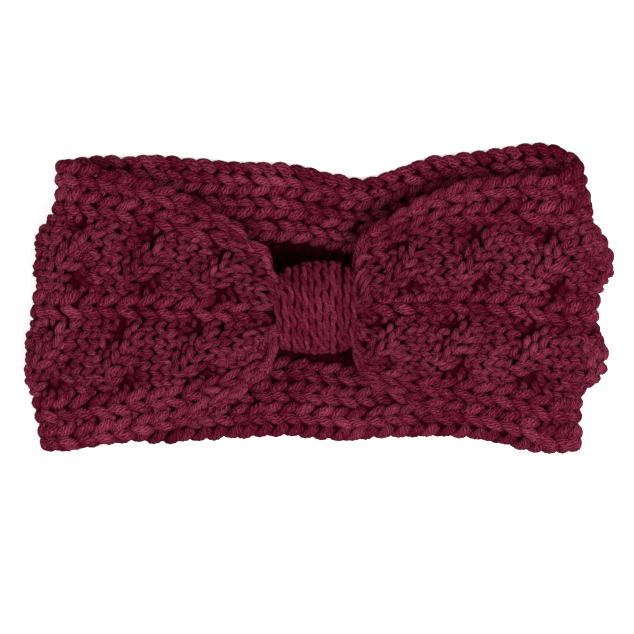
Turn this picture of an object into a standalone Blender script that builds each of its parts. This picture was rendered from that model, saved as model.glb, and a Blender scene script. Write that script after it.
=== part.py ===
"""Knitted ear warmer headband, lying flat: one ribbed and cabled loop of chunky yarn, its front gathered by a
wound-yarn wrap.

The loop lies on its back layer, with the front layer on top. +X runs along the band, +Y across it and +Z up from
the surface that it lies on. Metres throughout.
"""

import math

import bmesh
import bpy
import numpy as np

# The knitted loop
BAND_LENGTH = 0.216
BAND_WIDTH = 0.115
FABRIC = 0.008
HEAD_GAP = 0.007
RIB_RISE = 0.0022
CABLE_EXTRA = 0.0014
INNER_RIB_RISE = 0.0015
CABLE_PITCH = 0.0275
FOLD_DEPTH = 0.0065
FOLD_WIDTH = 0.0063
FOLD_START = 0.0037

# The gathered bundle and the yarn wound round it
BUNDLE_WIDTH = 0.024
BUNDLE_THICKNESS = 0.010
WRAP_LENGTH = 0.0292
WRAP_WALL = 0.0068
WRAP_EDGE_WALL = 0.0006
WRAP_GROOVE = 0.0005
WRAP_TURNS = 12
KNOT_GAP = 0.006
KNOT_OFF_CENTRE = 0.0037
CLEARANCE = 0.0004

HALF_LENGTH = BAND_LENGTH / 2
HALF_WIDTH = BAND_WIDTH / 2
TURN_RADIUS = (HEAD_GAP + FABRIC) / 2
TURN_HEIGHT = FABRIC + HEAD_GAP / 2
BUNDLE_RUN = WRAP_LENGTH / 2 + CLEARANCE
BUNDLE_TOP = BUNDLE_WIDTH / 2 - KNOT_OFF_CENTRE
BUNDLE_BOTTOM = BUNDLE_WIDTH / 2 + KNOT_OFF_CENTRE
BUNDLE_UNDERSIDE = FABRIC + KNOT_GAP + WRAP_WALL + CLEARANCE
KNOT_HEIGHT = BUNDLE_UNDERSIDE + BUNDLE_THICKNESS / 2

# Knitted columns from the band's top edge to its bottom edge.
# Columns: kind, share of the width, then how far the column's end turn reaches left and right, as shares of the
# half length.
COLUMNS = (
    ("rib", 0.090, 0.891, 0.925),
    ("rib", 0.105, 0.895, 0.943),
    ("cable", 0.250, 0.963, 1.000),
    ("rib", 0.110, 0.966, 0.967),
    ("cable", 0.250, 1.000, 0.977),
    ("rib", 0.105, 0.966, 0.907),
    ("rib", 0.090, 0.949, 0.915),
)

# The inner face, from edge to edge. Columns: kind, share of the width.
INNER_COLUMNS = (
    ("plain", 0.040),
    ("rib", 0.082),
    ("rib", 0.082),
    ("rib", 0.082),
    ("plain", 0.428),
    ("rib", 0.082),
    ("rib", 0.082),
    ("rib", 0.082),
    ("plain", 0.040),
)

# The back layer's edges. Columns: place along the half length, then the top and bottom edges as shares of the
# half width.
BACK_EDGES = (
    (-0.93, 0.894, 0.998),
    (-0.86, 0.894, 0.990),
    (-0.74, 0.905, 0.940),
    (-0.61, 0.910, 0.927),
    (-0.46, 0.897, 0.918),
    (-0.32, 0.875, 0.900),
    (-0.18, 0.864, 0.885),
    (-0.07, 0.850, 0.884),
    (0.04, 0.798, 0.903),
    (0.12, 0.770, 0.914),
    (0.19, 0.762, 0.905),
    (0.25, 0.802, 0.893),
    (0.33, 0.860, 0.888),
    (0.43, 0.908, 0.888),
    (0.56, 0.930, 0.908),
    (0.65, 0.957, 0.938),
    (0.74, 0.992, 0.983),
    (0.81, 0.985, 0.998),
    (0.88, 0.945, 0.996),
)

# The front layer from the wrap's end (0) to the band's end (1).
# Columns: place, then how far each edge has spread from the bundle to the half width, on the left at the top and
# bottom and on the right at the top and bottom, then how much of the bundle's thickness and lift is left.
FRONT_SECTIONS = (
    (0.00, -0.081, 0.000, -0.057, 0.000, 1.00),
    (0.03, 0.131, 0.234, 0.239, 0.281, 0.95),
    (0.07, 0.192, 0.307, 0.328, 0.366, 0.80),
    (0.13, 0.295, 0.428, 0.412, 0.457, 0.56),
    (0.20, 0.412, 0.539, 0.498, 0.543, 0.38),
    (0.28, 0.516, 0.639, 0.592, 0.624, 0.25),
    (0.37, 0.604, 0.744, 0.661, 0.682, 0.15),
    (0.50, 0.705, 0.821, 0.712, 0.756, 0.06),
    (0.65, 0.787, 0.902, 0.746, 0.838, 0.02),
    (0.80, 0.855, 0.955, 0.746, 0.977, 0.00),
    (0.93, 0.876, 0.997, 0.712, 0.997, 0.00),
)

# Valleys between the gathers beside the wrap.
# Columns: side, place across the cloth at the wrap and at the valley's far end, depth, reach along the front.
FOLDS = (
    (-1, 0.800, 0.805, 0.40, 0.35),
    (-1, 0.530, 0.500, 0.40, 0.28),
    (-1, 0.300, 0.190, 1.00, 0.48),
    (1, 0.790, 0.805, 0.90, 0.38),
    (1, 0.520, 0.555, 0.90, 0.60),
    (1, 0.230, 0.195, 0.35, 0.30),
)
INNER_FOLD_SHARE = 0.35

# How far the first crossing of each cable lies from the knot's middle, as a share of the cable pitch.
# Columns: left, right.
FIRST_CROSSINGS = ((0.24, 0.18), (0.60, 0.88))

# How squarely a section's edge is rounded off: 2 is an ellipse, more is flatter.
FLAT_ROUNDNESS = 7.0
BUNDLE_ROUNDNESS = 2.0
FLAT_PRESS = 1.04

# How a column and a cable's strand are rounded: the dome's steepness and squareness, the strand's half width as a
# share of its cable's, how much a strand rises or sinks where the two cross, how square the wrap's barrel is, how
# far its thickest place lies from its middle, as a share of its half length, and how much thicker it is at its top
# edge, and thinner at its bottom edge, as a share of its wall.
DOME_STEEPNESS = 1.35
DOME_SQUARENESS = 2.5
STRAND_HALF = 0.62
CROSSING_LIFT = 0.3
WRAP_SQUARENESS = 2.0
WRAP_PEAK = 0.1
WRAP_HEAP = 0.27

# Facets
RIB_POINTS = (0.2, 0.5, 0.8)
CABLE_POINTS = (0.12, 0.31, 0.5, 0.69, 0.88)
INNER_RIB_POINTS = (0.5,)
INNER_PLAIN_POINTS = (0.25, 0.5, 0.75)
BACK_STEPS = 28
TURN_STEPS = 8
ARM_STEPS = 18
KNOT_STEPS = 4
WRAP_STEPS = 36

CRIMSON = (0.115, 0.008, 0.022, 1.0)
WRAP_CRIMSON = (0.125, 0.013, 0.028, 1.0)


def smooth(places, values, at):
    """A smooth curve through a table's points, read at the given places."""
    places = np.asarray(places, float)
    values = np.asarray(values, float)
    slopes = np.gradient(values, places)
    index = np.clip(np.searchsorted(places, at) - 1, 0, len(places) - 2)
    step = places[index + 1] - places[index]
    share = np.clip((at - places[index]) / step, 0.0, 1.0)
    rest = 1.0 - share
    ends = values[index] * (1 + 2 * share) * rest**2 + values[index + 1] * (3 - 2 * share) * share**2
    return ends + step * share * rest * (rest * slopes[index] - share * slopes[index + 1])


def column_spans(columns):
    """(kind, start, end) of each column, from 0 at the band's bottom edge to 1 at its top edge."""
    total = sum(column[1] for column in columns)
    spans = []
    end = 1.0
    for column in columns:
        start = end - column[1] / total
        spans.append((column[0], start, end))
        end = start
    return spans


def turn_start(across, side):
    """Where the front and back layers run into the end turn, as a distance from the middle."""
    spans = column_spans(COLUMNS)[::-1]
    middles = [(start + end) / 2 for _, start, end in spans]
    reaches = [column[2 if side < 0 else 3] for column in COLUMNS[::-1]]
    reach = smooth(middles, reaches, np.clip(across, middles[0], middles[-1]))
    return reach * HALF_LENGTH - TURN_RADIUS - FABRIC / 2 - CABLE_EXTRA * cable_share(across)


def cable_share(across):
    """1 in the middle of a cable, 0 outside the cables."""
    share = np.zeros_like(across)
    for kind, start, end in column_spans(COLUMNS):
        if kind == "cable":
            local = np.clip((across - start) / (end - start), 0.0, 1.0)
            share = np.maximum(share, np.sin(math.pi * local) ** 0.5)
    return share


def dome(local):
    """A column's rounded top: 0 at its two gutters, 1 over most of its width."""
    return np.minimum(1.0, DOME_STEEPNESS * (1.0 - np.abs(2.0 * local - 1.0) ** DOME_SQUARENESS))


def strand(offset):
    """The round of one cable strand, a little over half as wide as its cable."""
    return np.sqrt(np.clip(1.0 - (offset / STRAND_HALF) ** 2, 0.0, 1.0))


def cable_form(local, turns):
    """Two strands side by side that change places once for each turn. The one on top rises towards +X."""
    phase = turns - math.floor(turns + 0.5)
    swap = np.clip(phase / 0.5 + 0.5, 0.0, 1.0)
    swing = math.cos(math.pi * swap)
    crossing = math.sin(math.pi * swap) ** 2
    across = 2.0 * local - 1.0
    over = strand(across + 0.5 * swing) * (1.0 + CROSSING_LIFT * crossing)
    under = strand(across - 0.5 * swing) * (1.0 - CROSSING_LIFT * crossing)
    return np.maximum(over, under) / (1.0 + CROSSING_LIFT / 2)


def outer_relief(across, cable_turns):
    """Height of the outer face over its gutters: ribs, and cables that stand a little prouder."""
    height = np.zeros_like(across)
    cable = 0
    for kind, start, end in column_spans(COLUMNS):
        inside = (across > start) & (across < end)
        local = np.clip((across - start) / (end - start), 0.0, 1.0)
        if kind == "rib":
            height = np.where(inside, RIB_RISE * dome(local), height)
            continue
        form = dome(local)
        if cable_turns is not None:
            form = dome(local) * cable_form(local, cable_turns[cable])
            form = form * (1.0 + CABLE_EXTRA / RIB_RISE)
        height = np.where(inside, RIB_RISE * form, height)
        cable += 1
    return height


def inner_relief(across):
    """Depth of the inner face under its rib tops."""
    depth = np.zeros_like(across)
    for kind, start, end in column_spans(INNER_COLUMNS):
        inside = (across >= start) & (across <= end)
        local = np.clip((across - start) / (end - start), 0.0, 1.0)
        if kind == "rib":
            depth = np.where(inside, INNER_RIB_RISE * (1.0 - np.sin(math.pi * local)), depth)
    return depth


def envelope(across, roundness):
    """Share of the section's half thickness, falling to 0 at the two edges of the cloth."""
    return (1.0 - np.abs(2.0 * across - 1.0) ** roundness) ** (1.0 / roundness)


def folds(across, place, side):
    """How deep the gathers' valleys cut into the front layer."""
    depth = np.zeros_like(across)
    start = FOLD_START / (HALF_LENGTH - BUNDLE_RUN)
    for fold_side, at_wrap, at_end, share, reach in FOLDS:
        if fold_side != side:
            continue
        run = np.clip(place / reach, 0.0, 1.0)
        middle = at_wrap + (at_end - at_wrap) * run
        fade = np.clip(place / start, 0.0, 1.0) * (1.0 - run)
        aside = (across - middle) * BAND_WIDTH / FOLD_WIDTH
        depth = depth + FOLD_DEPTH * share * fade * np.exp(-(aside**2))
    return depth


def across_samples(columns, rib_points, other_points):
    """Places across the cloth that carry a section's points: each column's own, and the gutters between."""
    samples = []
    for kind, start, end in column_spans(columns)[::-1]:
        local = rib_points if kind == "rib" else other_points
        samples += [start + (end - start) * point for point in local]
        samples.append(end)
    return np.array(samples[:-1])


OUTER_ACROSS = across_samples(COLUMNS, RIB_POINTS, CABLE_POINTS)
INNER_ACROSS = across_samples(INNER_COLUMNS, INNER_RIB_POINTS, INNER_PLAIN_POINTS)
RING_ACROSS = np.concatenate([[0.0], OUTER_ACROSS, [1.0], INNER_ACROSS[::-1]])
RING_FACE = np.concatenate([[0], np.ones(len(OUTER_ACROSS)), [0], -np.ones(len(INNER_ACROSS))])


def spread(across, gathered):
    """Places across a flat section, moved towards its edges as it is gathered into a round bundle."""
    straight = 2.0 * across - 1.0
    return 0.5 + 0.5 * (straight * (1.0 - gathered) + np.sin(math.pi / 2 * straight) * gathered)


def front_edges(x):
    """The front layer's top and bottom edges. Under the wrap they run straight from its left end to its right."""
    table = list(zip(*FRONT_SECTIONS))
    place = np.clip((np.abs(x) - BUNDLE_RUN) / (HALF_LENGTH - BUNDLE_RUN), 0.0, 1.0)
    right = np.clip(x / BUNDLE_RUN, -1.0, 1.0) / 2 + 0.5
    top_share = smooth(table[0], table[1], place) * (1.0 - right) + smooth(table[0], table[3], place) * right
    bottom_share = smooth(table[0], table[2], place) * (1.0 - right) + smooth(table[0], table[4], place) * right
    top = BUNDLE_TOP + top_share * (HALF_WIDTH - BUNDLE_TOP)
    bottom = -BUNDLE_BOTTOM - bottom_share * (HALF_WIDTH - BUNDLE_BOTTOM)
    return top, bottom


def front_ring(station):
    """A section of the front layer. Stations within 1 lie under the wrap, and 2 is where the end turn starts."""
    side = -1 if station < 0 else 1
    under = min(abs(station), 1.0)
    beyond = max(abs(station) - 1.0, 0.0)
    x = side * (BUNDLE_RUN * under + (turn_start(RING_ACROSS, side) - BUNDLE_RUN) * beyond)
    place = np.clip((np.abs(x) - BUNDLE_RUN) / (HALF_LENGTH - BUNDLE_RUN), 0.0, 1.0)
    top, bottom = front_edges(x)
    table = list(zip(*FRONT_SECTIONS))
    gathered = np.clip(smooth(table[0], table[5], place), 0.0, 1.0)
    roundness = FLAT_ROUNDNESS + (BUNDLE_ROUNDNESS - FLAT_ROUNDNESS) * np.sqrt(gathered)
    placed = spread(RING_ACROSS, gathered)
    half = (FABRIC + gathered * (BUNDLE_THICKNESS - FABRIC)) / 2
    flat_underside = FABRIC + HEAD_GAP
    underside = flat_underside + gathered * (BUNDLE_UNDERSIDE - flat_underside)
    reach = half * envelope(placed, roundness)
    turns = [
        (abs(float(x.mean())) / CABLE_PITCH - first[0 if side < 0 else 1]) * side
        for first in FIRST_CROSSINGS
    ]
    relief = (outer_relief(RING_ACROSS, turns) - RIB_RISE) * (1.0 - gathered)
    valleys = folds(RING_ACROSS, place, side)
    outer = reach + relief - valleys
    inner = -reach + inner_relief(RING_ACROSS) * (1.0 - gathered) + valleys * INNER_FOLD_SHARE
    offset = np.where(RING_FACE > 0, outer, np.where(RING_FACE < 0, inner, 0.0))
    y = bottom + (top - bottom) * placed
    return np.column_stack([x, y, underside + half + offset])


def back_edges(x):
    table = list(zip(*BACK_EDGES))
    place = np.clip(x / HALF_LENGTH, table[0][0], table[0][-1])
    return smooth(table[0], table[1], place) * HALF_WIDTH, -smooth(table[0], table[2], place) * HALF_WIDTH


def flat_offsets(cable_turns, pressed):
    """Offsets of a flat section from the middle of the cloth. The face that the band lies on is pressed flat."""
    reach = FABRIC / 2 * envelope(RING_ACROSS, FLAT_ROUNDNESS)
    outer = reach + outer_relief(RING_ACROSS, cable_turns) - RIB_RISE
    if pressed:
        flat = np.minimum(FABRIC / 2, reach * FLAT_PRESS)
        outer = flat + outer_relief(RING_ACROSS, None) - RIB_RISE
    inner = -reach + inner_relief(RING_ACROSS)
    return np.where(RING_FACE > 0, outer, np.where(RING_FACE < 0, inner, 0.0))


def back_ring(share):
    """A section of the back layer, which lies on the surface."""
    left = turn_start(RING_ACROSS, -1)
    right = turn_start(RING_ACROSS, 1)
    x = -left + (left + right) * share
    top, bottom = back_edges(x)
    y = bottom + (top - bottom) * RING_ACROSS
    return np.column_stack([x, y, FABRIC / 2 - flat_offsets(None, True)])


def turn_ring(side, rise):
    """A section of an end turn, from the back layer (0) up to the front layer (1)."""
    angle = math.pi * (rise - 0.5)
    start = back_ring(0.0 if side < 0 else 1.0)
    end = front_ring(2.0 * side)
    reach = turn_start(RING_ACROSS, side)
    turned = math.pi * TURN_RADIUS * (1.0 - rise)
    turns = [
        ((float(reach.mean()) + turned) / CABLE_PITCH - first[0 if side < 0 else 1]) * side
        for first in FIRST_CROSSINGS
    ]
    lying = flat_offsets(None, True)
    round_the_turn = flat_offsets(turns, False)
    pressed = max(0.0, 1.0 - 4.0 * rise)
    offset = lying * pressed + round_the_turn * (1.0 - pressed)
    x = side * (reach + (TURN_RADIUS + offset) * math.cos(angle))
    y = start[:, 1] + (end[:, 1] - start[:, 1]) * rise
    z = TURN_HEIGHT + (TURN_RADIUS + offset) * math.sin(angle)
    return np.column_stack([x, y, z])


def band_rings():
    """Every section of the loop, once round it."""
    rings = [back_ring(step / BACK_STEPS) for step in range(BACK_STEPS + 1)]
    rings += [turn_ring(1, step / TURN_STEPS) for step in range(1, TURN_STEPS)]
    rings += [front_ring(2.0 - step / ARM_STEPS) for step in range(ARM_STEPS)]
    rings += [front_ring(1.0 - 2.0 * step / KNOT_STEPS) for step in range(KNOT_STEPS)]
    rings += [front_ring(-1.0 - step / ARM_STEPS) for step in range(ARM_STEPS + 1)]
    rings += [turn_ring(-1, 1.0 - step / TURN_STEPS) for step in range(1, TURN_STEPS)]
    return rings


def wrap_profile():
    """The wrap's section as (place along X, wall): a flat inside, and one round for each turn of yarn outside."""
    half = WRAP_LENGTH / 2
    profile = [(half, 0.0), (-half, 0.0)]
    points = 2 * WRAP_TURNS + 1
    for point in range(points):
        along = 2.0 * point / (points - 1) - 1.0
        from_peak = abs(along - WRAP_PEAK) / (1.0 + math.copysign(WRAP_PEAK, WRAP_PEAK - along))
        barrel = math.sqrt(max(0.0, 1.0 - from_peak**WRAP_SQUARENESS))
        wall = WRAP_EDGE_WALL + (WRAP_WALL - WRAP_EDGE_WALL) * barrel
        groove = 0.0 if point % 2 else WRAP_GROOVE
        profile.append((along * half, wall - groove))
    return profile


def wrap_rings():
    """The wrap's profile carried round the bundle."""
    x, wall = np.array(wrap_profile()).T
    top, bottom = front_edges(x)
    half_width = (top - bottom) / 2 + CLEARANCE
    half_thickness = BUNDLE_THICKNESS / 2 + CLEARANCE
    rings = []
    for step in range(WRAP_STEPS):
        angle = 2.0 * math.pi * step / WRAP_STEPS
        outward_y = math.cos(angle) / half_width
        outward_z = math.sin(angle) / half_thickness
        reach = wall * (1.0 + WRAP_HEAP * math.cos(angle)) / np.hypot(outward_y, outward_z)
        y = (top + bottom) / 2 + half_width * math.cos(angle) + outward_y * reach
        z = KNOT_HEIGHT + half_thickness * math.sin(angle) + outward_z * reach
        rings.append(np.column_stack([x, y, z]))
    return rings


def centred(*parts):
    """The parts' rings moved together, so that the origin lies under the middle of the outline."""
    points = np.concatenate([ring for rings in parts for ring in rings])
    low = points.min(axis=0)
    high = points.max(axis=0)
    origin = np.array([(low[0] + high[0]) / 2, (low[1] + high[1]) / 2, low[2]])
    return [[ring - origin for ring in rings] for rings in parts]


def yarn_material(name, colour, roughness):
    material = bpy.data.materials.new(name)
    material.use_nodes = True
    shader = material.node_tree.nodes["Principled BSDF"]
    shader.inputs["Base Color"].default_value = colour
    shader.inputs["Roughness"].default_value = roughness
    shader.inputs["Metallic"].default_value = 0.0
    return material


def closed_loft(name, rings, material, collection):
    """A closed skin through rings of points that themselves run once round a loop."""
    mesh = bpy.data.meshes.new(name)
    body = bmesh.new()
    rows = [[body.verts.new(point) for point in ring] for ring in rings]
    for row, after in zip(rows, rows[1:] + rows[:1]):
        for index in range(len(row)):
            beside = (index + 1) % len(row)
            body.faces.new((row[index], row[beside], after[beside], after[index]))
    bmesh.ops.recalc_face_normals(body, faces=body.faces)
    body.to_mesh(mesh)
    body.free()
    mesh.materials.append(material)
    mesh.shade_smooth()
    obj = bpy.data.objects.new(name, mesh)
    collection.objects.link(obj)
    return obj


def clear_scene():
    for obj in list(bpy.data.objects):
        bpy.data.objects.remove(obj, do_unlink=True)


def build():
    clear_scene()
    collection = bpy.data.collections.new("ear_warmer_headband")
    bpy.context.scene.collection.children.link(collection)
    band, wrap = centred(band_rings(), wrap_rings())
    closed_loft("band", band, yarn_material("band_yarn", CRIMSON, 0.85), collection)
    closed_loft("centre_wrap", wrap, yarn_material("wrap_yarn", WRAP_CRIMSON, 0.88), collection)


build()
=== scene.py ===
"""The looks of a knitted ear warmer headband that lies flat: every stitch of its ribs and cables, the yarn
wound round its gathered front, and the studio that it lies in. Metres throughout, +Z up."""

import math

import bpy
import numpy as np
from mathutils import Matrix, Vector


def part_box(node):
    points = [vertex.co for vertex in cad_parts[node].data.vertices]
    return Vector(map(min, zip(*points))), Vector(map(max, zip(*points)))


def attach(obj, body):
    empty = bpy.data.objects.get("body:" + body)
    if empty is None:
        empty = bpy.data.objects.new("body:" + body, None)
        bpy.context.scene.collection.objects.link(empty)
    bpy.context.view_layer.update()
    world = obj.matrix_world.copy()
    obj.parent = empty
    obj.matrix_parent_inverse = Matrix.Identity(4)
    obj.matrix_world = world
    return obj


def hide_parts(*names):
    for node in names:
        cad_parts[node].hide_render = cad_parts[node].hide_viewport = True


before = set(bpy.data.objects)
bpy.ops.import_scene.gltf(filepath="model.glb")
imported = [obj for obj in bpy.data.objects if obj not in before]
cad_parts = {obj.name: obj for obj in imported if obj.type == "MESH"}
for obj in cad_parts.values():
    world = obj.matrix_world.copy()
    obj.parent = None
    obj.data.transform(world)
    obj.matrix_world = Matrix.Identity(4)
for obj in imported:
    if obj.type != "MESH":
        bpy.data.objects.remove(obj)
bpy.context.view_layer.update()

# The cloth of the loop.
# One band of chunky knitting joined into a loop. It carries every stitch below. This piece is the dense
# inside of the knitting, coloured dark as painted shade, so it shows dark between the stitches.
BAND_LENGTH = 0.216
BAND_WIDTH = 0.115
FABRIC = 0.008
HEAD_GAP = 0.007
RIB_RISE = 0.0022
CABLE_EXTRA = 0.0014
INNER_RIB_RISE = 0.0015
FOLD_DEPTH = 0.0065
FOLD_WIDTH = 0.0063
FOLD_START = 0.0037
INNER_FOLD_SHARE = 0.35
BUNDLE_WIDTH = 0.024
BUNDLE_THICKNESS = 0.010
WRAP_LENGTH = 0.0292
WRAP_WALL = 0.0068
WRAP_EDGE_WALL = 0.0006
WRAP_SQUARENESS = 2.0
WRAP_PEAK = 0.1
WRAP_HEAP = 0.27
KNOT_GAP = 0.006
KNOT_OFF_CENTRE = 0.0037
CLEARANCE = 0.0004

HALF_LENGTH = BAND_LENGTH / 2
HALF_WIDTH = BAND_WIDTH / 2
TURN_RADIUS = (HEAD_GAP + FABRIC) / 2
TURN_HEIGHT = FABRIC + HEAD_GAP / 2
BUNDLE_RUN = WRAP_LENGTH / 2 + CLEARANCE
BUNDLE_TOP = BUNDLE_WIDTH / 2 - KNOT_OFF_CENTRE
BUNDLE_BOTTOM = BUNDLE_WIDTH / 2 + KNOT_OFF_CENTRE
BUNDLE_UNDERSIDE = FABRIC + KNOT_GAP + WRAP_WALL + CLEARANCE
KNOT_HEIGHT = BUNDLE_UNDERSIDE + BUNDLE_THICKNESS / 2

# Columns: kind, share of the width, then how far the column's end turn reaches left and right, as shares of
# the half length. From the top edge to the bottom edge.
COLUMNS = (
    ("rib", 0.090, 0.891, 0.925),
    ("rib", 0.105, 0.895, 0.943),
    ("cable", 0.250, 0.963, 1.000),
    ("rib", 0.110, 0.966, 0.967),
    ("cable", 0.250, 1.000, 0.977),
    ("rib", 0.105, 0.966, 0.907),
    ("rib", 0.090, 0.949, 0.915),
)

# Columns: place along the half length, then the back layer's top and bottom edges as shares of the half
# width.
BACK_EDGES = (
    (-0.93, 0.894, 0.998),
    (-0.86, 0.894, 0.990),
    (-0.74, 0.905, 0.940),
    (-0.61, 0.910, 0.927),
    (-0.46, 0.897, 0.918),
    (-0.32, 0.875, 0.900),
    (-0.18, 0.864, 0.885),
    (-0.07, 0.850, 0.884),
    (0.04, 0.798, 0.903),
    (0.12, 0.770, 0.914),
    (0.19, 0.762, 0.905),
    (0.25, 0.802, 0.893),
    (0.33, 0.860, 0.888),
    (0.43, 0.908, 0.888),
    (0.56, 0.930, 0.908),
    (0.65, 0.957, 0.938),
    (0.74, 0.992, 0.983),
    (0.81, 0.985, 0.998),
    (0.88, 0.945, 0.996),
)

# Columns: place from the wrap's end (0) to the band's end (1), then how far each edge has spread from the
# bundle to the half width, on the left at the top and bottom and on the right at the top and bottom, then
# how much of the bundle's thickness and lift is left.
FRONT_SECTIONS = (
    (0.00, -0.081, 0.000, -0.057, 0.000, 1.00),
    (0.03, 0.131, 0.234, 0.239, 0.281, 0.95),
    (0.07, 0.192, 0.307, 0.328, 0.366, 0.80),
    (0.13, 0.295, 0.428, 0.412, 0.457, 0.56),
    (0.20, 0.412, 0.539, 0.498, 0.543, 0.38),
    (0.28, 0.516, 0.639, 0.592, 0.624, 0.25),
    (0.37, 0.604, 0.744, 0.661, 0.682, 0.15),
    (0.50, 0.705, 0.821, 0.712, 0.756, 0.06),
    (0.65, 0.787, 0.902, 0.746, 0.838, 0.02),
    (0.80, 0.855, 0.955, 0.746, 0.977, 0.00),
    (0.93, 0.876, 0.997, 0.712, 0.997, 0.00),
)

# Valleys between the gathers. Columns: side, place across the cloth at the wrap and at the valley's far end,
# depth, reach along the front.
FOLDS = (
    (-1, 0.800, 0.805, 0.40, 0.35),
    (-1, 0.530, 0.500, 0.40, 0.28),
    (-1, 0.300, 0.190, 1.00, 0.48),
    (1, 0.790, 0.805, 0.90, 0.38),
    (1, 0.520, 0.555, 0.90, 0.60),
    (1, 0.230, 0.195, 0.35, 0.30),
)

FLAT_ROUNDNESS = 7.0
BUNDLE_ROUNDNESS = 2.0
FLAT_PRESS = 1.04

# Places round the loop, where each stretch starts: the right arm at 0, its end turn, the back layer, the
# left end turn, the left arm and the stretch under the wrap, which ends where the loop has gone round.
RIGHT_TURN, BACK, LEFT_TURN, LEFT_ARM, UNDER_WRAP, ROUND = 1.0, 2.0, 3.0, 4.0, 5.0, 6.0

PRESSED_RISE = 0.25
RUN_STEP = 0.004
CLOTH_DEPTH = 0.0009
CLOTH_STEPS = 220
CLOTH_ACROSS = 46
EDGE_INSET = 0.014
YARN_ROUGHNESS = 0.95
TUFT_SCALE = 900.0
TUFT_DEPTH = 0.0006


def smooth(places, values, at):
    """A smooth curve through a table's points, read at the given places."""
    places = np.asarray(places, float)
    values = np.asarray(values, float)
    slopes = np.gradient(values, places)
    index = np.clip(np.searchsorted(places, at) - 1, 0, len(places) - 2)
    step = places[index + 1] - places[index]
    share = np.clip((at - places[index]) / step, 0.0, 1.0)
    rest = 1.0 - share
    ends = values[index] * (1 + 2 * share) * rest**2 + values[index + 1] * (3 - 2 * share) * share**2
    return ends + step * share * rest * (rest * slopes[index] - share * slopes[index + 1])


def front_edges(x):
    """The front layer's top and bottom edges. Under the wrap they run straight from end to end."""
    table = list(zip(*FRONT_SECTIONS))
    place = np.clip((np.abs(x) - BUNDLE_RUN) / (HALF_LENGTH - BUNDLE_RUN), 0.0, 1.0)
    right = np.clip(x / BUNDLE_RUN, -1.0, 1.0) / 2 + 0.5
    spreads = [smooth(table[0], column, place) for column in table[1:5]]
    top_share = spreads[0] * (1.0 - right) + spreads[2] * right
    bottom_share = spreads[1] * (1.0 - right) + spreads[3] * right
    top = BUNDLE_TOP + top_share * (HALF_WIDTH - BUNDLE_TOP)
    bottom = -BUNDLE_BOTTOM - bottom_share * (HALF_WIDTH - BUNDLE_BOTTOM)
    return top, bottom


def wrap_wall(along, angle):
    """How thick the wrap is, from its left end (-1) to its right end (1), at an angle from its top edge."""
    from_peak = np.abs(along - WRAP_PEAK) / (1.0 + np.where(along < WRAP_PEAK, WRAP_PEAK, -WRAP_PEAK))
    barrel = np.sqrt(np.maximum(0.0, 1.0 - from_peak**WRAP_SQUARENESS))
    return (WRAP_EDGE_WALL + (WRAP_WALL - WRAP_EDGE_WALL) * barrel) * (1.0 + WRAP_HEAP * np.cos(angle))


def frame_shift():
    """The origin lies under the middle of the outline, so the wrap's place in the frame gives the shift."""
    low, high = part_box("centre_wrap")
    along = np.linspace(-1.0, 1.0, CLOTH_STEPS)
    top, bottom = front_edges(along * WRAP_LENGTH / 2)
    highest = np.max(top + CLEARANCE + wrap_wall(along, 0.0))
    lowest = np.min(bottom - CLEARANCE - wrap_wall(along, math.pi))
    return np.array([(low.x + high.x) / 2, (low.y + high.y - highest - lowest) / 2, 0.0])


SHIFT = frame_shift()


def column_spans(columns):
    """(kind, start, end) of each column, from 0 at the band's bottom edge to 1 at its top edge."""
    total = sum(column[1] for column in columns)
    spans = []
    end = 1.0
    for column in columns:
        start = end - column[1] / total
        spans.append((column[0], start, end))
        end = start
    return spans


def cable_share(across):
    """1 in the middle of a cable, 0 outside the cables."""
    share = np.zeros_like(across)
    for kind, start, end in column_spans(COLUMNS):
        if kind == "cable":
            local = np.clip((across - start) / (end - start), 0.0, 1.0)
            share = np.maximum(share, np.sin(math.pi * local) ** 0.5)
    return share


def turn_start(across, side):
    """Where the front and back layers run into the end turn, as a distance from the middle."""
    spans = column_spans(COLUMNS)[::-1]
    middles = [(start + end) / 2 for _, start, end in spans]
    reaches = [column[2 if side < 0 else 3] for column in COLUMNS[::-1]]
    reach = smooth(middles, reaches, np.clip(across, middles[0], middles[-1]))
    return reach * HALF_LENGTH - TURN_RADIUS - FABRIC / 2 - CABLE_EXTRA * cable_share(across)


def envelope(across, roundness):
    """Share of the section's half thickness, falling to 0 at the two edges of the cloth."""
    return (1.0 - np.abs(2.0 * across - 1.0) ** roundness) ** (1.0 / roundness)


def folds(across, place, side):
    """How deep the gathers' valleys cut into the front layer."""
    depth = np.zeros_like(across)
    start = FOLD_START / (HALF_LENGTH - BUNDLE_RUN)
    for fold_side, at_wrap, at_end, share, reach in FOLDS:
        run = np.clip(place / reach, 0.0, 1.0)
        middle = at_wrap + (at_end - at_wrap) * run
        fade = np.clip(place / start, 0.0, 1.0) * (1.0 - run) * (side == fold_side)
        aside = (across - middle) * BAND_WIDTH / FOLD_WIDTH
        depth = depth + FOLD_DEPTH * share * fade * np.exp(-(aside**2))
    return depth


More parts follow.
